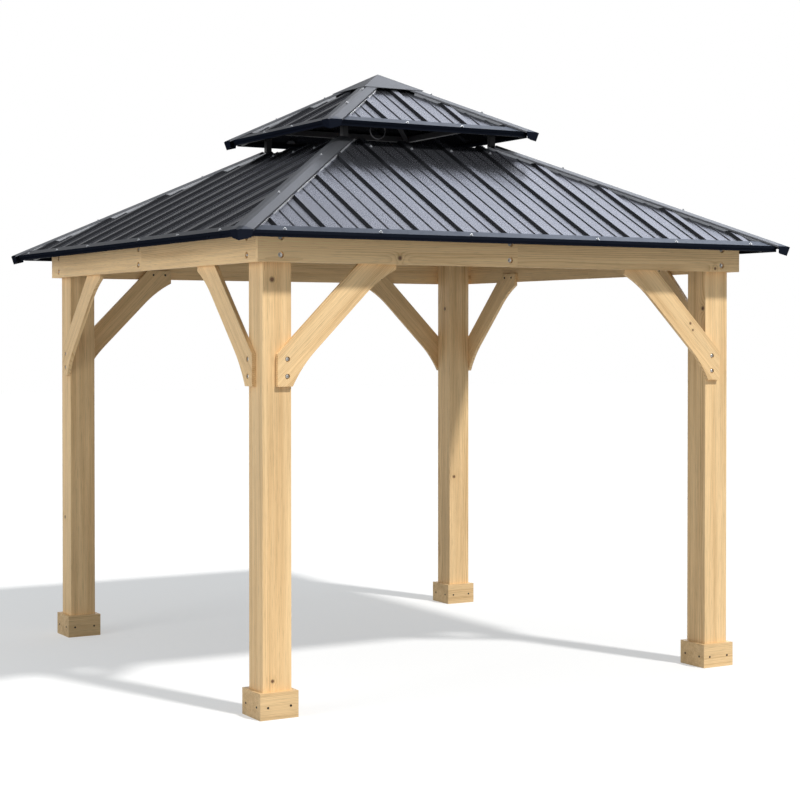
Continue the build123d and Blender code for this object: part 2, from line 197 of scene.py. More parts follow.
class StageSettings(PropertyGroup):
    """Camera, lamps and floor"""

    camera_place: FloatVectorProperty(
        name="Camera", description="Where the camera stands", subtype="TRANSLATION",
        unit="LENGTH", size=3, default=(-4.6264, -8.2774, 1.6749),
    )
    camera_yaw: FloatProperty(
        name="Yaw", description="Turn of the camera from straight at the front to the right",
        subtype="ANGLE", default=math.radians(29.916),
    )
    camera_pitch: FloatProperty(
        name="Pitch", description="Tilt of the camera above the horizon",
        subtype="ANGLE", default=math.radians(-0.7658),
    )
    camera_lens: FloatProperty(
        name="Lens", description="Focal length in millimetres on a 36 mm frame", min=1,
        default=80.307,
    )
    camera_shift: FloatProperty(
        name="Shift", description="Upward shift of the frame, as a share of its width",
        default=-0.0533,
    )
    sun_azimuth: FloatProperty(
        name="Sun azimuth", description="Turn of the sun from the front towards the right",
        subtype="ANGLE", default=math.radians(18.9),
    )
    sun_elevation: FloatProperty(
        name="Sun elevation", description="Height of the sun above the floor",
        subtype="ANGLE", default=math.radians(49.8),
    )
    sun_strength: FloatProperty(
        name="Sun strength", description="Strength of the sun", min=0, default=2.75,
    )
    sun_softness: FloatProperty(
        name="Sun softness", description="Apparent width of the sun", subtype="ANGLE",
        min=0, default=math.radians(4.0),
    )
    sun_colour: FloatVectorProperty(
        name="Sun colour", description="Colour of the sun", subtype="COLOR", size=3,
        min=0, max=1, default=(1.0, 0.985, 0.96),
    )
    sky_colour: FloatVectorProperty(
        name="Sky", description="Colour of the studio's even light", subtype="COLOR", size=3,
        min=0, max=1, default=(0.88, 0.95, 1.0),
    )
    sky_strength: FloatProperty(
        name="Sky strength", description="Strength of the studio's even light", min=0,
        default=0.40,
    )
    card_strength: FloatProperty(
        name="Card power", description="Power of the card behind the roof that its paint reflects",
        min=0, default=2900.0,
    )
    fill_strength: FloatProperty(
        name="Fill power", description="Power of the soft box on the left", min=0, default=165.0,
    )
    floor_colour: FloatVectorProperty(
        name="Floor", description="Colour of the floor as it is seen", subtype="COLOR", size=3,
        min=0, max=1, default=(0.62, 0.62, 0.62),
    )
    floor_white: FloatProperty(
        name="Floor white", description="Share of the white background seen through the floor",
        subtype="FACTOR", min=0, max=1, default=0.40,
    )
    floor_bounce: FloatProperty(
        name="Floor bounce", description="How much of the light the floor gives back",
        subtype="FACTOR", min=0, max=1, default=0.48,
    )


# Shader maths


class Value:
    """A socket on which Python's operators add Math nodes."""

    def __init__(self, tree, socket):
        self.tree = tree
        self.socket = socket

    def __add__(self, other):
        return self.tree.maths("ADD", self, other)

    __radd__ = __add__

    def __sub__(self, other):
        return self.tree.maths("SUBTRACT", self, other)

    def __rsub__(self, other):
        return self.tree.maths("SUBTRACT", other, self)

    def __mul__(self, other):
        return self.tree.maths("MULTIPLY", self, other)

    __rmul__ = __mul__

    def __truediv__(self, other):
        return self.tree.maths("DIVIDE", self, other)

    def __rtruediv__(self, other):
        return self.tree.maths("DIVIDE", other, self)

    def clamped(self):
        return self.tree.maths("ADD", self, 0.0, use_clamp=True)


class Tree:
    """A node tree, and the one method that adds nodes to it."""

    def __init__(self, tree):
        self.tree = tree
        self.tree.nodes.clear()

    def node(self, kind, settings=None, inputs=None, output=0):
        """Add a node with its settings, then its values or links, and return one output."""
        made = self.tree.nodes.new(kind)
        for name, setting in (settings or {}).items():
            if name == "stops":
                self.set_stops(made.color_ramp, setting)
            else:
                setattr(made, name, setting)
        for name, value in (inputs or {}).items():
            if isinstance(value, Value):
                self.tree.links.new(value.socket, made.inputs[name])
            else:
                made.inputs[name].default_value = value
        return Value(self, made.outputs[output]) if made.outputs else made

    def set_stops(self, ramp, stops):
        """Set a ramp's stops, each a position and a grey level."""
        while len(ramp.elements) < len(stops):
            ramp.elements.new(1.0)
        for element, (position, level) in zip(ramp.elements, stops):
            element.position = position
            element.color = (level, level, level, 1.0)

    def maths(self, operation, first, second=0.0, use_clamp=False):
        return self.node(
            "ShaderNodeMath", {"operation": operation, "use_clamp": use_clamp},
            {0: first, 1: second},
        )

    def background_seen(self):
        """1 where the camera, gloss or glass looks at this surface, and 0 where it gives light."""
        rays = [
            self.node("ShaderNodeLightPath", output=name)
            for name in ("Is Camera Ray", "Is Glossy Ray", "Is Transmission Ray")
        ]
        return self.maths("MAXIMUM", self.maths("MAXIMUM", rays[0], rays[1]), rays[2])


class Shader(Tree):
    """A material, and the nodes that are added to it."""

    def __init__(self, name):
        self.material = bpy.data.materials.new(name)
        self.material.use_nodes = True
        super().__init__(self.material.node_tree)

    def vector(self, operation, first, second, output=0):
        return self.node(
            "ShaderNodeVectorMath", {"operation": operation}, {0: first, 1: second}, output
        )

    def place(self, centre=(0.0, 0.0, 0.0)):
        """Object coordinates, measured from a centre."""
        raw = self.node("ShaderNodeTexCoord", output="Object")
        return self.vector("SUBTRACT", raw, tuple(centre))

    def steepness(self):
        """How far a face turns up: 1 where it is level, 0 where it is upright."""
        true_normal = self.node("ShaderNodeNewGeometry", output="True Normal")
        return self.split(true_normal)[2]

    def split(self, vector):
        """The three parts of a vector."""
        first_part = self.node("ShaderNodeSeparateXYZ", inputs={0: vector})
        return [Value(self, socket) for socket in first_part.socket.node.outputs]

    def joined(self, x, y, z):
        return self.node("ShaderNodeCombineXYZ", inputs={0: x, 1: y, 2: z})

    def noise(self, vector, scale, detail, roughness):
        return self.node(
            "ShaderNodeTexNoise", {"noise_dimensions": "3D"},
            {"Vector": vector, "Scale": scale, "Detail": detail, "Roughness": roughness},
        )

    def ramp(self, value, stops):
        return self.node("ShaderNodeValToRGB", {"stops": stops}, {"Fac": value})

    def mix(self, factor, first, second):
        """A colour between two colours."""
        return self.node(
            "ShaderNodeMix", {"data_type": "RGBA"}, {0: factor, 6: opaque(first), 7: opaque(second)},
            output=2,
        )

    def tinted(self, colour, value):
        """A colour that is made lighter or darker by a value."""
        return self.node(
            "ShaderNodeMix", {"data_type": "RGBA", "blend_type": "MULTIPLY"},
            {0: 1.0, 6: opaque(colour), 7: value}, output=2,
        )

    def bump(self, height, strength, distance):
        return self.node(
            "ShaderNodeBump", inputs={"Height": height, "Strength": strength, "Distance": distance}
        )

    def finish(self, **sockets):
        """Add the surface, with its sockets named by words joined with underscores."""
        named = {name.replace("_", " "): value for name, value in sockets.items()}
        surface = self.node("ShaderNodeBsdfPrincipled", inputs={
            name: opaque(value) if name.endswith(("Color", "Tint")) else value
            for name, value in named.items()
        })
        self.node("ShaderNodeOutputMaterial", inputs={"Surface": surface})
        return self.material


def opaque(colour):
    """A colour with its alpha, or a link as it is."""
    return colour if isinstance(colour, Value) else (*tuple(colour)[:3], 1.0)


# Where things are, from the frame


def middle(node):
    low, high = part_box(node)
    return (low + high) / 2


def paint(node, material):
    """Give a node of the frame its finish."""
    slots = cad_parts[node].data.materials
    slots.clear()
    slots.append(material)


def add_piece(name, points, faces):
    """A plain mesh object from points and faces."""
    mesh = bpy.data.meshes.new(name)
    mesh.from_pydata([tuple(point) for point in points], [], faces)
    mesh.validate()
    piece = bpy.data.objects.new(name, mesh)
    bpy.context.scene.collection.objects.link(piece)
    return piece


def keep(piece, material=None):
    """Fix a finished piece to the gazebo, with its material if one is given."""
    if material is not None:
        piece.data.materials.append(material)
    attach(piece, "root")


def direction(azimuth, elevation):
    """A unit vector towards a point at an azimuth from the front and an elevation."""
    flat = math.cos(elevation)
    return Vector((math.sin(azimuth) * flat, -math.cos(azimuth) * flat, math.sin(elevation)))


def turned(vector, side):
    """A place or direction at the front, moved round to another side."""
    x, y, z = vector
    for _ in range(SIDES.index(side)):
        x, y = -y, x
    return Vector((x, y, z))


class Slope:
    """One tier of the roof, measured on the underside of its sheets."""

    def __init__(self, eave_half, eave_height, pitch):
        self.eave_half = eave_half
        self.eave_height = eave_height
        self.rise = math.radians(pitch)

    def normal(self):
        return Vector((0.0, -math.sin(self.rise), math.cos(self.rise)))

    def point(self, along, half, lift):
        """A point on the front slope, a lift above the sheet's underside."""
        height = self.eave_height + (self.eave_half - half) * math.tan(self.rise)
        return Vector((along, -half, height)) + self.normal() * lift


# Eaves and pitches as in the solids, and the ribs of the panels
LOWER = Slope(eave_half=1.490, eave_height=2.098623, pitch=27.4)
UPPER = Slope(eave_half=0.590, eave_height=2.705538, pitch=28.2)
SHEET = 0.0015
RIB_PITCH = 0.233
RIB_FOOT = 0.030
RIB_CROWN = 0.017
RIB_TOP = 0.0135


# Timber


# Knots that show on the front, each a centre and a radius
KNOT_PLACES = {
    "beam_front_a": ((-0.633, -1.337, 2.0135, 0.009),),
    "beam_front_b": ((1.182, -1.337, 1.999, 0.006),),
    "post_front_left": ((-1.2486, -1.295, 1.909, 0.010), (-1.248, -1.295, 0.163, 0.007)),
    "post_front_right": ((1.155, -1.275, 1.801, 0.009),),
    "braces_front": ((1.043, -1.315, 1.7253, 0.006), (1.059, -1.315, 1.692, 0.005)),
}
# How many more knots are drawn at random
DRAWN_KNOTS = {
    "beam_right_a": 2, "beam_right_b": 1, "beam_back_a": 2, "beam_back_b": 2,
    "post_back_left": 2, "post_back_right": 3, "braces_right": 2, "braces_back": 2,
}
DRAWN_KNOT_RADII = (0.005, 0.010)
KNOT_REACH = 1.6
SWIRL_REACH = 2.6
SWIRL_PUSH = 0.02
# Tone of each kind of board: the beams lighter as painted light, the post bases darker as painted shade
KIND_LIGHT_AND_SHADE = {"post": 1.0, "post_base": 0.87, "beam": 1.07, "braces": 1.0}

# Where the pith line lies beside a board, and how it strays
PITH_ACROSS = (0.05, 0.10)
PITH_THROUGH = (0.05, 0.09)
PITH_LEAN = 0.012
SWAY_ACROSS = 0.035
SWAY_THROUGH = 0.03
GRAIN_SHIFT = 50

# Noise along the grain: stretch along it, fineness across it, detail and roughness
SWAY = (0.9, 3.5, 2.0, 0.5)
FIBRE = (3.0, 260.0, 3.0, 0.6)
STREAK = (0.7, 34.0, 2.0, 0.5)
FLECK = (14.0, 480.0, 1.0, 0.5)
CLOUD = (1.3, 6.0, 2.0, 0.5)

# Stops of the ramps, each a position and a level
RING_STOPS = ((0.0, 0.25), (0.18, 0.0), (0.55, 0.12), (0.9, 1.0))
PORE_STOPS = ((0.58, 0.0), (0.72, 1.0))
KNOT_STOPS = ((0.0, 0.0), (0.5, 0.5), (0.95, 1.0))


def board_axes(shader, node):
    """Coordinates along a board's grain, across its face and through it."""
    x, y, z = shader.split(shader.place(middle(node)))
    if node.startswith(("post_base", "beam_front", "beam_back", "beam_packers")):
        return x, z, y
    if node.startswith("post"):
        return z, x, y
    if node.startswith("beam"):
        return y, z, x

    # Braces lean outwards at 45 degrees, to both sides of the middle
    out, through = (x, y) if node in ("braces_front", "braces_back") else (y, x)
    reach = shader.maths("ABSOLUTE", out)
    lean = math.sqrt(0.5)
    return (z - reach) * lean, (z + reach) * lean, through


def grain_noise(shader, board, pattern):
    """Noise that is drawn out along the grain."""
    along, across, through = board
    stretch, fineness, detail, roughness = pattern
    stretched = shader.joined(along * stretch, across * fineness, through * fineness)
    return shader.noise(stretched, 1.0, detail, roughness)


def knots_of(node, rng):
    """Places and radii of a board's knots: those that are named, and a few drawn at random."""
    low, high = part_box(node)
    places = list(KNOT_PLACES.get(node, ()))
    through = 1 if node.endswith(("front_a", "front_b", "back_a", "back_b")) else 0
    for _ in range(DRAWN_KNOTS.get(node, 0)):
        place = [rng.uniform(a, b) for a, b in zip(low, high)]
        narrow = rng.choice((0, 1)) if node.startswith("post") else through
        place[narrow] = rng.choice((low[narrow], high[narrow]))
        places.append((*place, rng.uniform(*DRAWN_KNOT_RADII)))
    return places


def knots_and_swirl(shader, places):
    """How much of a knot a point lies in, and how far the grain bends round it."""
    knot = 0.0
    swirl = 0.0
    for x, y, z, radius in places:
        gap = shader.vector("LENGTH", shader.place((x, y, z)), (0, 0, 0), 1)
        heart = (KNOT_REACH - gap / radius).clamped()
        bend = shader.maths("EXPONENT", gap * (-1 / (SWIRL_REACH * radius)))
        knot = shader.maths("MAXIMUM", knot, heart)
        swirl = shader.maths("MAXIMUM", swirl, bend)
    return knot, swirl


def late_wood(shader, axes, sway, swirl, rng):
    """The dark part of the growth rings, round a pith line that lies outside the board."""
    along, across, through = axes
    pith_across = rng.choice((-1, 1)) * rng.uniform(*PITH_ACROSS)
    pith_through = rng.choice((-1, 1)) * rng.uniform(*PITH_THROUGH)
    lean = rng.uniform(-PITH_LEAN, PITH_LEAN)
    a = across + pith_across + along * lean + (sway - 0.5) * SWAY_ACROSS
    b = through + pith_through + (sway - 0.5) * SWAY_THROUGH
    reach = shader.maths("SQRT", a * a + b * b) + swirl * SWIRL_PUSH
    turns = reach / bpy.context.scene.gazebo_timber.ring_spacing
    return shader.ramp(shader.maths("FRACT", turns), RING_STOPS)


def timber_material(node, seed):
    """Planed softwood, with its own rings, fibres, pores and knots."""
    look = bpy.context.scene.gazebo_timber
    rng = random.Random(seed)
    shader = Shader("timber_" + node)
    axes = board_axes(shader, node)
    knot, swirl = knots_and_swirl(shader, knots_of(node, rng))
    along, across, through = axes
    board = (along + rng.uniform(-GRAIN_SHIFT, GRAIN_SHIFT), across, through)
    late = late_wood(shader, axes, grain_noise(shader, board, SWAY), swirl, rng)

    # Fibres, pores and slow changes of tone
    fibre = grain_noise(shader, board, FIBRE)
    streak = grain_noise(shader, board, STREAK)
    pore = shader.ramp(grain_noise(shader, board, FLECK), PORE_STOPS)
    cloud = grain_noise(shader, board, CLOUD)
    ring_share = (late * 0.75 * (0.2 + streak) + (streak - 0.45) * 1.5 + swirl * 0.4).clamped()
    wood = shader.mix(ring_share, look.early_colour, look.late_colour)
    kind = "post_base" if node.startswith("post_base") else node.split("_")[0]
    # Painted light and shade: the kind's tone makes the beams lighter and the post bases darker
    tone = look.tone * KIND_LIGHT_AND_SHADE[kind] + (fibre - 0.5) * 0.6 + (cloud - 0.5) * 0.45
    tone = tone + rng.uniform(-0.03, 0.03)
    wood = shader.tinted(wood, tone - pore * 0.22)
    knot_edge = shader.ramp(knot, KNOT_STOPS)
    wood = shader.mix(knot_edge, wood, look.knot_colour)

    roughness = look.roughness + (fibre - 0.5) * 0.2 - knot * 0.12
    height = fibre * 0.5 + late * 0.4 - knot_edge * 0.6 - pore * 0.3
    return shader.finish(
        Base_Color=wood, Roughness=roughness, Normal=shader.bump(height, 0.35, 0.0006),
        Specular_IOR_Level=0.3,
    )


class GAZEBO_OT_finish_timber(Operator):
    """Give each post, base, beam and brace its own piece of softwood"""

    bl_idname = "gazebo.finish_timber"
    bl_label = "Timber"

    def execute(self, context):
        boards = ["post_" + name for name in POSTS]
        boards += ["post_base_" + name for name in POSTS]
        boards += ["beam_" + side + "_" + half for side in SIDES for half in HALVES]
        boards += ["braces_" + side for side in SIDES]
        boards.append("beam_packers")
        for seed, node in enumerate(boards):
            paint(node, timber_material(node, seed))
        return {"FINISHED"}


# Painted metal


# Scales of the noise in the paint, in turns to the metre
WRINKLE_SCALE = 420.0
SPECKLE_SCALE = 210.0
PATCH_SCALE = 1.6
MARK_SCALE = 60.0
GRIME_SCALE = 9.0

# Depths of the paint's wrinkles and of the marks on smooth metal
WRINKLE_DEPTH = 0.0005
MARK_DEPTH = 0.0003

# Stops of the ramps over how far a face turns up, for painted shade on steep faces and painted light on
# faces that turn up, and over the paler patches
FLANK_STOPS = ((0.70, 1.0), (0.84, 0.0))
LEVEL_STOPS = ((0.4, 0.0), (0.75, 1.0))
DUST_STOPS = ((0.45, 0.0), (0.75, 1.0))


def sheet_material(name, colour, grain, painted_flank_shade, roughness):
    """Textured paint on sheet steel: fine wrinkles, paler patches, and painted shade on the ribs'
    flanks and the sheet's underside.
    """
    look = bpy.context.scene.gazebo_roof
    shader = Shader(name)
    place = shader.place()
    wrinkle = shader.noise(place, WRINKLE_SCALE, 2.0, 0.6)
    speckle = shader.noise(place, SPECKLE_SCALE, 2.0, 0.7)
    patch = shader.noise(place, PATCH_SCALE, 3.0, 0.55)
    tone = 1.0 + (speckle - 0.5) * grain + (patch - 0.5) * 0.25
    dust = shader.ramp(patch, DUST_STOPS)
    # Painted shade: the colour is darker on steep faces, the ribs' flanks and the sheet's underside
    flank = shader.ramp(shader.steepness(), FLANK_STOPS)
    shade = 1.0 - flank * painted_flank_shade
    return shader.finish(
        Base_Color=shader.tinted(shader.tinted(colour, tone), shade),
        Roughness=roughness + (speckle - 0.5) * 0.13 + dust * 0.06,
        Metallic=look.sheet_metal,
        Specular_IOR_Level=0.0,
        Specular_Tint=(look.edge_gloss,) * 3,
        Normal=shader.bump(wrinkle, 0.26, WRINKLE_DEPTH),
    )


def marks_and_grime(shader):
    """Fine handling marks and broader grime on smooth metal."""
    place = shader.place()
    return shader.noise(place, MARK_SCALE, 4.0, 0.6), shader.noise(place, GRIME_SCALE, 3.0, 0.6)


def eave_material():
    """Smooth blue-black paint, with painted light on the faces that turn up: paler and more metallic
    there.
    """
    look = bpy.context.scene.gazebo_roof
    shader = Shader("eave_trim")
    mark, grime = marks_and_grime(shader)
    # Painted light: faces that turn up get a paler, more metallic paint than the upright faces
    level = shader.ramp(shader.steepness(), LEVEL_STOPS)
    colour = shader.mix(level, look.eave_colour, look.top_light_colour)
    return shader.finish(
        Base_Color=shader.tinted(colour, 0.85 + grime * 0.3),
        Roughness=0.28 + mark * 0.12,
        Metallic=0.3 + level * 0.45,
        Specular_IOR_Level=0.0,
        Specular_Tint=(look.edge_gloss,) * 3,
        Normal=shader.bump(mark, 0.1, MARK_DEPTH),
    )


def plain_metal(name, colour, roughness, metal, edge_gloss=1.0):
    """Bare or smoothly painted steel with faint handling marks."""
    shader = Shader(name)
    mark, grime = marks_and_grime(shader)
    return shader.finish(
        Base_Color=shader.tinted(colour, 1.0 + (grime - 0.5) * 0.3),
        Roughness=roughness + (mark - 0.5) * 0.2,
        Metallic=metal,
        Specular_IOR_Level=0.3,
        Specular_Tint=(edge_gloss,) * 3,
        Normal=shader.bump(mark, 0.1, MARK_DEPTH),
    )


class GAZEBO_OT_finish_roof(Operator):
    """Paint the ribbed panels, the hip caps, the peak cap and the eaves"""

    bl_idname = "gazebo.finish_roof"
    bl_label = "Roof"

    def execute(self, context):
        look = context.scene.gazebo_roof
        # The fourth number is the painted shade on steep faces: strong on the sheets, faint on the caps
        sheet = sheet_material("roof_sheet", look.sheet_colour, 1.0, 0.75, look.sheet_roughness)
        cap = sheet_material("roof_trim", look.cap_colour, 0.8, 0.1, look.cap_roughness)
        eave = eave_material()
        for side in SIDES:
            paint("lower_panel_" + side, sheet)
            paint("upper_panel_" + side, sheet)
        for node in ("lower_hip_caps", "upper_hip_caps", "peak_cap"):
            paint(node, cap)
        for node in ("lower_fascias", "upper_fascias", "lower_end_caps", "upper_end_caps"):
            paint(node, eave)
        return {"FINISHED"}


class GAZEBO_OT_finish_frame(Operator):
    """Paint the tubes under the roof, and leave the hanging ring bare steel"""

    bl_idname = "gazebo.finish_frame"
    bl_label = "Roof frame"

    def execute(self, context):
        look = context.scene.gazebo_roof
        black = plain_metal("frame_metal", look.frame_colour, 0.45, 0.0)
        for node in ("hip_rafters", "middle_rafters", "purlins", "vent_ring", "vent_posts",
                     "upper_rafters", "upper_ring", "peak_hub"):
            paint(node, black)
        steel = plain_metal("ring_steel", look.ring_colour, 0.4, 1.0, look.edge_gloss)
        paint("hanging_ring", steel)
        return {"FINISHED"}


# Folded strips on the roof


# Each eave trim lies on the ribs, from a point behind the eave to its fold just in front of it
TRIM_UNDERSIDE = RIB_TOP + 0.0001
TRIM_TOP = RIB_TOP + 0.0012
TRIM_SHEET = 0.001
TRIM_BACK = 0.041
TRIM_FRONT = 0.0022
TRIM_DROP = 0.001
TRIM_SHORT_OF_CORNER = 0.054

# Each closure stands under a hip cap's edge, from its upper end down to the eave trim
CLOSURE_FROM_HIP = 0.0495
CLOSURE_SHEET = 0.001
LOWER_CLOSURE_TOP = 0.462
UPPER_CLOSURE_TOP = 0.185


def swept(points, faces, profile, start, end):
    """Add a closed bar to a mesh: a profile's points at its start and at its end."""
    first = len(points)
    count = len(profile)
    points.extend(start(corner) for corner in profile)
    points.extend(end(corner) for corner in profile)
    for index in range(count):
        following = (index + 1) % count
        faces.append((first + count + index, first + count + following,
                      first + following, first + index))
    faces.append(tuple(range(first, first + count)))
    faces.append(tuple(range(first + 2 * count - 1, first + count - 1, -1)))


def eave_trim(roof):
    """Strips folded over the ends of the ribs, one to each eave, and out to the hip caps."""
    reach = roof.eave_half - TRIM_SHORT_OF_CORNER
    back = roof.eave_half - TRIM_BACK
    front = roof.eave_half + TRIM_FRONT
    inside = front - TRIM_SHEET
    profile = (
        (back, TRIM_UNDERSIDE), (inside, TRIM_UNDERSIDE), (inside, -TRIM_DROP),
        (front, -TRIM_DROP), (front, TRIM_TOP), (back, TRIM_TOP),
    )
    points, faces = [], []
    for side in SIDES:
        swept(
            points, faces, profile,
            lambda corner: turned(roof.point(-reach, *corner), side),
            lambda corner: turned(roof.point(reach, *corner), side),
        )
    return points, faces


def rib_gaps(ribs, start, end):
    """The stretches between ribs, from a start to an end along the eave."""
    stops = [rib for rib in ribs if start < rib + RIB_FOOT and rib - RIB_FOOT < end]
    lows = [None] + stops
    highs = stops + [None]
    return [
        (low, high) for low, high in zip(lows, highs)
        if (start if low is None else low + RIB_FOOT) < (end if high is None else high - RIB_FOOT)
    ]


def closure_bar(roof, ends, offset, side, hand):
    """The eight corners of one strip between two ribs."""
    thick = CLOSURE_SHEET * math.sqrt(2)
    return [
        turned(roof.point(hand * (along + back), along + offset, lift), side)
        for foot, crown in ends
        for along, lift, back in (
            (foot, SHEET, 0), (crown, RIB_TOP, 0), (crown, RIB_TOP, thick), (foot, SHEET, thick),
        )
    ]


def hip_closure(roof, ribs, top):
    """Upright strips that close the gap under the hip caps, notched where they meet a rib."""
    offset = CLOSURE_FROM_HIP * math.sqrt(2)
    start = top - offset
    end = roof.eave_half - TRIM_BACK - offset
    sides = ((0, 1, 5, 4), (1, 2, 6, 5), (2, 3, 7, 6), (3, 0, 4, 7), (3, 2, 1, 0), (4, 5, 6, 7))
    points, faces = [], []
    for low, high in rib_gaps(ribs, start, end):
        ends = (
            [start] * 2 if low is None else [low + RIB_FOOT, low + RIB_CROWN],
            [end] * 2 if high is None else [high - RIB_FOOT, high - RIB_CROWN],
        )
        for side in SIDES:
            for hand in (1, -1):
                first = len(points)
                points.extend(closure_bar(roof, ends, offset, side, hand))
                for face in sides:
                    order = face if hand == -1 else face[::-1]
                    faces.append(tuple(first + index for index in order))
    return points, faces


class GAZEBO_OT_eave_trims(Operator):
    """Fold a strip over the rib ends along each eave"""

    bl_idname = "gazebo.eave_trims"
    bl_label = "Eave trims"

    def execute(self, context):
        material = bpy.data.objects["lower_fascias"].material_slots[0].material
        for name, roof in (("lower_eave_trims", LOWER), ("upper_eave_trims", UPPER)):
            keep(add_piece(name, *eave_trim(roof)), material)
        return {"FINISHED"}


class GAZEBO_OT_hip_closures(Operator):
    """Stand the notched zinc strips under the edges of the hip caps"""

    bl_idname = "gazebo.hip_closures"
    bl_label = "Hip closures"

    def execute(self, context):
        look = context.scene.gazebo_roof
        zinc = plain_metal("closure_zinc", look.closure_colour, 0.35, 0.6)
        lower_ribs = [RIB_PITCH * (index + 0.5) for index in range(6)]
        upper_ribs = [RIB_PITCH * index for index in range(3)]
        for name, roof, ribs, top in (
            ("lower_hip_closures", LOWER, lower_ribs, LOWER_CLOSURE_TOP),
            ("upper_hip_closures", UPPER, upper_ribs, UPPER_CLOSURE_TOP),
        ):
            keep(add_piece(name, *hip_closure(roof, ribs, top)), zinc)
        return {"FINISHED"}


# Bolts and screws


# Faces that the heads sit on, measured from the middle of the gazebo
BEAM_BORE_FACE = 1.326
BRACE_BORE_FACE = 1.306
BRACE_BACK_FACE = 1.295

BEAM_BOLT_PLACES = (-1.225, -0.040, 1.225)
BEAM_BOLT_HEIGHTS = (2.0155, 2.0925)
FOOT_BOLT_PLACES = (-1.183, 1.183)
FOOT_BOLT_HEIGHTS = (1.488, 1.563)
HEAD_SCREW_PLACES = (0.676, 0.748)
HEAD_SCREW_HEIGHT = 2.010
SKIRT_SCREW_PLACES = (-0.055, 0.055)
SKIRT_SCREW_HEIGHT = 0.054

# Rows of screws on the slopes: the roof, places along it, distance out and height on the sheet
SLOPE_SCREWS = (
    (LOWER, (1.5 * RIB_PITCH, 3.5 * RIB_PITCH, 5.5 * RIB_PITCH), 1.481, TRIM_TOP),
    (UPPER, (0.160,), 0.582, TRIM_TOP),
    (LOWER, (0.5 * RIB_PITCH, 1.5 * RIB_PITCH), 0.550, RIB_TOP),
)
HIP_SCREWS = {"lower_hip_caps": (0.702, 1.138), "upper_hip_caps": (0.207, 0.400)}
ABOVE_THE_ROOF = 5.0


def lathed(profile, sides):
    """Points and faces of a turned solid, whose profile starts and ends on the axis."""
    points, faces = [], []
    rings = profile[1:-1]
    for radius, height in rings:
        for index in range(sides):
            angle = 2 * math.pi * index / sides
            points.append((radius * math.cos(angle), radius * math.sin(angle), height))
    points += [(0.0, 0.0, profile[0][1]), (0.0, 0.0, profile[-1][1])]
    for index in range(sides):
        following = (index + 1) % sides
        for ring in range(len(rings) - 1):
            low, high = ring * sides, (ring + 1) * sides
            faces.append((low + index, low + following, high + following, high + index))
        last = (len(rings) - 1) * sides
        faces.append((len(points) - 2, following, index))
        faces.append((last + index, last + following, len(points) - 1))
    return points, faces


def joined_solids(*solids):
    """One mesh's points and faces from several."""
    points, faces = [], []
    for more_points, more_faces in solids:
        first = len(points)
        points.extend(more_points)
        faces.extend(tuple(first + index for index in face) for face in more_faces)
    return points, faces


def hex_head():
    """A bevelled hexagon on a round washer, one unit wide and one unit high."""
    washer = lathed(((0, 0), (0.5, 0), (0.5, 0.17), (0.47, 0.22), (0, 0.22)), 16)
    head = lathed(((0, 0.21), (0.31, 0.21), (0.31, 0.86), (0.27, 1.0), (0, 1.0)), 6)
    return joined_solids(washer, head)


def domed_head():
    """A dome with a round recess, one unit wide and one unit high."""
    outside = ((0, 0), (0.5, 0), (0.5, 0.22), (0.42, 0.66), (0.27, 0.96), (0.2, 1.0))
    recess = ((0.17, 0.45), (0, 0.42))
    return lathed(outside + recess, 14)


def screw_head():
    """A flat bevelled head with a sunk drive, one unit wide and one unit high."""
    outside = ((0, 0), (0.5, 0), (0.5, 0.6), (0.4, 1.0))
    drive = ((0.2, 0.95), (0.12, 0.3), (0, 0.3))
    return lathed(outside + drive, 10)


def fastening_tree():
    """Put a head on each point, along its own normal and turned by chance, and make it real."""
    group = bpy.data.node_groups.new("fastenings", "GeometryNodeTree")
    group.is_modifier = True
    for name, kind in (
        ("Geometry", "Geometry"), ("Head", "Object"), ("Width", "Float"), ("Height", "Float"),
        ("Turn Seed", "Int"), ("Material", "Material"),
    ):
        group.interface.new_socket(name=name, in_out="INPUT", socket_type="NodeSocket" + kind)
    group.interface.new_socket(name="Geometry", in_out="OUTPUT", socket_type="NodeSocketGeometry")
    tree = Tree(group)
    given = tree.node("NodeGroupInput").socket.node
    asked = {socket.name: Value(tree, socket) for socket in given.outputs if socket.name}
    head = tree.node("GeometryNodeObjectInfo", inputs={"Object": asked["Head"]}, output="Geometry")
    facing = tree.node(
        "GeometryNodeInputNamedAttribute", {"data_type": "FLOAT_VECTOR"}, {"Name": "facing"}
    )
    upright = tree.node("FunctionNodeAlignRotationToVector", {"axis": "Z"}, {"Vector": facing})
    chance = tree.node("FunctionNodeRandomValue", {"data_type": "FLOAT"}, {
        2: 0.0, 3: 2 * math.pi, "Seed": asked["Turn Seed"],
    }, output=1)
    turn = tree.node("FunctionNodeAxisAngleToRotation", inputs={"Angle": chance})
    turned_head = tree.node(
        "FunctionNodeRotateRotation", {"rotation_space": "LOCAL"},
        {"Rotation": upright, "Rotate By": turn},
    )
    scale = tree.node(
        "ShaderNodeCombineXYZ", inputs={0: asked["Width"], 1: asked["Width"], 2: asked["Height"]}
    )
    heads = tree.node("GeometryNodeInstanceOnPoints", inputs={
        "Points": asked["Geometry"], "Instance": head, "Rotation": turned_head, "Scale": scale,
    })
    real = tree.node("GeometryNodeRealizeInstances", inputs={"Geometry": heads})
    coloured = tree.node(
        "GeometryNodeSetMaterial", inputs={"Geometry": real, "Material": asked["Material"]}
    )
    tree.node("NodeGroupOutput", inputs={"Geometry": coloured})
    return group


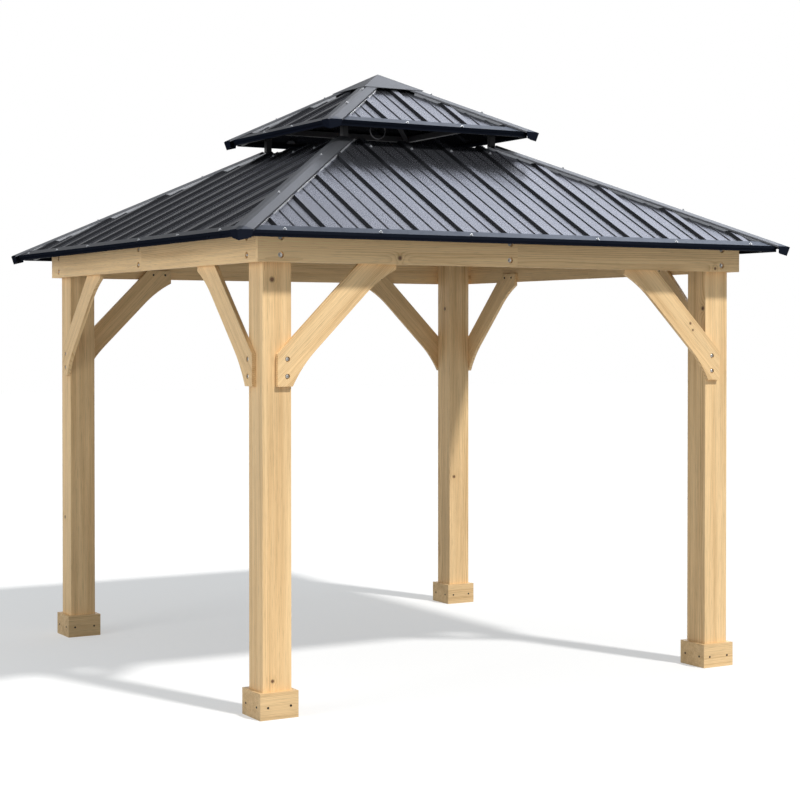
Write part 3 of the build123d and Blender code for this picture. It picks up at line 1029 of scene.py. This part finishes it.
def add_fastenings(name, head, seats, width, height, material):
    """One plain mesh with a head at each seat, each seat a place and the way it faces."""
    look = bpy.context.scene.gazebo_fastenings
    group = bpy.data.node_groups.get("fastenings") or fastening_tree()
    pattern = add_piece(name + "_head", *head)
    marks = add_piece(name + "_marks", [place for place, _ in seats], [])
    facing = marks.data.attributes.new("facing", "FLOAT_VECTOR", "POINT")
    for item, (_, way) in zip(facing.data, seats):
        item.vector = way
    modifier = marks.modifiers.new("fastenings", "NODES")
    modifier.node_group = group
    values = {"Head": pattern, "Width": width, "Height": height, "Turn Seed": look.turn_seed,
              "Material": material}
    for item in group.interface.items_tree:
        if item.in_out == "INPUT" and item.name in values:
            modifier[item.identifier] = values[item.name]
    graph = bpy.context.evaluated_depsgraph_get()
    mesh = bpy.data.meshes.new_from_object(marks.evaluated_get(graph))
    mesh.name = name
    if not mesh.polygons:
        raise RuntimeError(name + " came out empty")
    for spare in (marks, pattern):
        bpy.data.objects.remove(spare)
    piece = bpy.data.objects.new(name, mesh)
    bpy.context.scene.collection.objects.link(piece)
    keep(piece)


def round_the_sides(places, way):
    """Seats at the front, repeated on all four sides."""
    return [(turned(place, side), turned(way, side)) for side in SIDES for place in places]


def dropped(node, x, y):
    """The highest point of a node under a place in the plan, and the way it faces."""
    hit, place, way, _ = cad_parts[node].ray_cast((x, y, ABOVE_THE_ROOF), (0, 0, -1))
    if not hit:
        raise RuntimeError("nothing of " + node + " lies under the screw")
    return place, way


def skirt_seats(outwards):
    """Seats of the screws on the four faces of each post base."""
    seats = []
    for name in POSTS:
        low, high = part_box("post_base_" + name)
        centre = (low + high) / 2
        reach = (high.x - low.x) / 2
        for side in SIDES:
            for along in SKIRT_SCREW_PLACES:
                place = turned(Vector((along, -reach, SKIRT_SCREW_HEIGHT)), side)
                seats.append((place + Vector((centre.x, centre.y, 0)), turned(outwards, side)))
    return seats


class GAZEBO_OT_timber_bolts(Operator):
    """Set the bolts of the beams and braces, and the screws of the post bases"""

    bl_idname = "gazebo.timber_bolts"
    bl_label = "Timber bolts"

    def execute(self, context):
        look = context.scene.gazebo_fastenings
        zinc = plain_metal("bolt_zinc", look.bolt_colour, 0.32, 0.9)
        dark = plain_metal("screw_black", look.dark_colour, 0.45, 0.6)
        outwards = Vector((0, -1, 0))
        beam = [Vector((x, -BEAM_BORE_FACE, z)) for x in BEAM_BOLT_PLACES for z in BEAM_BOLT_HEIGHTS]
        foot = [Vector((x, -BRACE_BORE_FACE, z)) for x in FOOT_BOLT_PLACES for z in FOOT_BOLT_HEIGHTS]
        head = [Vector((hand * x, -BRACE_BACK_FACE, HEAD_SCREW_HEIGHT))
                for hand in (-1, 1) for x in HEAD_SCREW_PLACES]
        add_fastenings(
            "beam_bolts", hex_head(), round_the_sides(beam, outwards),
            look.bolt_width, look.bolt_height, zinc,
        )
        add_fastenings(
            "brace_foot_bolts", domed_head(), round_the_sides(foot, outwards),
            look.foot_bolt_width, look.foot_bolt_height, zinc,
        )
        add_fastenings(
            "brace_head_screws", screw_head(), round_the_sides(head, -outwards),
            look.head_screw_width, look.head_screw_height, dark,
        )
        add_fastenings(
            "base_screws", screw_head(), skirt_seats(outwards),
            look.skirt_screw_width, look.skirt_screw_height, dark,
        )
        return {"FINISHED"}


class GAZEBO_OT_roof_screws(Operator):
    """Screw down the eaves, the tops of the panels and the hip caps"""

    bl_idname = "gazebo.roof_screws"
    bl_label = "Roof screws"

    def execute(self, context):
        look = context.scene.gazebo_fastenings
        material = plain_metal("roof_screw_paint", look.roof_screw_colour, 0.4, 0.5)
        seats = []
        for roof, alongs, half, lift in SLOPE_SCREWS:
            places = [roof.point(hand * along, half, lift) for along in alongs for hand in (-1, 1)]
            seats += round_the_sides(places, roof.normal())
        for node, halves in HIP_SCREWS.items():
            for half in halves:
                for across in (-1, 1):
                    for out in (-1, 1):
                        seats.append(dropped(node, half * across, half * out))
        add_fastenings(
            "roof_screws", hex_head(), seats,
            look.roof_screw_width, look.roof_screw_height, material,
        )
        return {"FINISHED"}


# Stage


FRAME_WIDTH_MM = 36.0
VIEW_END = 200.0
FLOOR_REACH = 40.0

# The card behind the roof, which only gloss sees, and the soft box on the left
CARD_PLACE = (8.2, 6.4, 9.9)
CARD_TARGET = (0.0, 0.0, 2.5)
CARD_SIZE = (11.0, 6.5)
FILL_PLACE = (-9.0, -2.0, 3.4)
FILL_TARGET = (0.0, -0.6, 1.8)
FILL_SIZE = (4.0, 4.0)


def add_camera(look):
    lens = bpy.data.cameras.new("view")
    lens.sensor_width = FRAME_WIDTH_MM
    lens.lens = look.camera_lens
    lens.shift_y = look.camera_shift
    lens.clip_end = VIEW_END
    camera = bpy.data.objects.new("view", lens)
    camera.location = look.camera_place
    camera.rotation_euler = (math.radians(90) + look.camera_pitch, 0.0, -look.camera_yaw)
    bpy.context.scene.collection.objects.link(camera)
    bpy.context.scene.camera = camera


def add_sun(look):
    lamp = bpy.data.lights.new("sun", "SUN")
    lamp.energy = look.sun_strength
    lamp.angle = look.sun_softness
    lamp.color = look.sun_colour
    sun = bpy.data.objects.new("sun", lamp)
    towards = direction(look.sun_azimuth, look.sun_elevation)
    sun.rotation_euler = towards.to_track_quat("Z", "Y").to_euler()
    bpy.context.scene.collection.objects.link(sun)


def add_soft_box(name, place, target, size, power, gloss_only=False):
    """A soft box that looks at a point. One for gloss only is a card that paint reflects."""
    lamp = bpy.data.lights.new(name, "AREA")
    lamp.shape = "RECTANGLE"
    lamp.size, lamp.size_y = size
    lamp.energy = power
    box = bpy.data.objects.new(name, lamp)
    box.location = place
    box.visible_diffuse = not gloss_only
    box.rotation_euler = (Vector(place) - Vector(target)).to_track_quat("Z", "Y").to_euler()
    bpy.context.scene.collection.objects.link(box)


def add_world(look):
    """An even studio light, behind a white background that gloss and glass see too."""
    world = bpy.data.worlds.new("studio")
    world.use_nodes = True
    tree = Tree(world.node_tree)
    light = tree.node(
        "ShaderNodeBackground", inputs={"Color": opaque(look.sky_colour), "Strength": look.sky_strength}
    )
    white = tree.node("ShaderNodeBackground", inputs={"Color": (1.0, 1.0, 1.0, 1.0)})
    both = tree.node("ShaderNodeMixShader", inputs={0: tree.background_seen(), 1: light, 2: white})
    tree.node("ShaderNodeOutputWorld", inputs={"Surface": both})
    bpy.context.scene.world = world


def add_floor(look):
    """A wide floor, white where it is lit as the background is, which keeps the object's shadow."""
    corners = [(x * FLOOR_REACH, y * FLOOR_REACH, 0) for x, y in ((-1, -1), (1, -1), (1, 1), (-1, 1))]
    floor = add_piece("floor", corners, [(0, 1, 2, 3)])
    shader = Shader("floor")
    seen = shader.background_seen()
    floor.data.materials.append(shader.finish(
        Base_Color=shader.mix(seen, (look.floor_bounce,) * 3, look.floor_colour),
        Emission_Color=shader.mix(seen, (0.0,) * 3, (look.floor_white,) * 3),
        Emission_Strength=1.0, Roughness=0.9, Specular_IOR_Level=0.0,
    ))


class GAZEBO_OT_stage(Operator):
    """Set up the floor, the lamps, the background and the camera"""

    bl_idname = "gazebo.stage"
    bl_label = "Stage"

    def execute(self, context):
        look = context.scene.gazebo_stage
        context.scene.view_settings.view_transform = "Standard"
        add_floor(look)
        add_world(look)
        add_sun(look)
        add_soft_box("card", CARD_PLACE, CARD_TARGET, CARD_SIZE, look.card_strength, gloss_only=True)
        add_soft_box("fill", FILL_PLACE, FILL_TARGET, FILL_SIZE, look.fill_strength)
        add_camera(look)
        return {"FINISHED"}


class GAZEBO_PT_pieces(Panel):
    """The gazebo's pieces, in the order in which they are made"""

    bl_idname = "GAZEBO_PT_pieces"
    bl_label = "Gazebo"
    bl_space_type = "VIEW_3D"
    bl_region_type = "UI"
    bl_category = "Gazebo"

    def draw(self, context):
        for operator in OPERATORS:
            self.layout.operator(operator.bl_idname, text=operator.bl_label)
        for name in ("gazebo_timber", "gazebo_roof", "gazebo_fastenings", "gazebo_stage"):
            settings = getattr(context.scene, name)
            for field in settings.__annotations__:
                self.layout.prop(settings, field)


OPERATORS = (
    GAZEBO_OT_finish_timber,
    GAZEBO_OT_finish_roof,
    GAZEBO_OT_finish_frame,
    GAZEBO_OT_eave_trims,
    GAZEBO_OT_hip_closures,
    GAZEBO_OT_timber_bolts,
    GAZEBO_OT_roof_screws,
    GAZEBO_OT_stage,
)
SETTINGS = (TimberSettings, RoofSettings, FasteningSettings, StageSettings)


def register():
    for item in (*SETTINGS, *OPERATORS, GAZEBO_PT_pieces):
        bpy.utils.register_class(item)
    bpy.types.Scene.gazebo_timber = PointerProperty(type=TimberSettings)
    bpy.types.Scene.gazebo_roof = PointerProperty(type=RoofSettings)
    bpy.types.Scene.gazebo_fastenings = PointerProperty(type=FasteningSettings)
    bpy.types.Scene.gazebo_stage = PointerProperty(type=StageSettings)


def unregister():
    del bpy.types.Scene.gazebo_stage
    del bpy.types.Scene.gazebo_fastenings
    del bpy.types.Scene.gazebo_roof
    del bpy.types.Scene.gazebo_timber
    for item in (GAZEBO_PT_pieces, *OPERATORS[::-1], *SETTINGS[::-1]):
        bpy.utils.unregister_class(item)


def main():
    register()
    bpy.ops.gazebo.finish_timber()
    bpy.ops.gazebo.finish_roof()
    bpy.ops.gazebo.finish_frame()
    bpy.ops.gazebo.eave_trims()
    bpy.ops.gazebo.hip_closures()
    bpy.ops.gazebo.timber_bolts()
    bpy.ops.gazebo.roof_screws()
    bpy.ops.gazebo.stage()


if __name__ == "__main__":
    main()
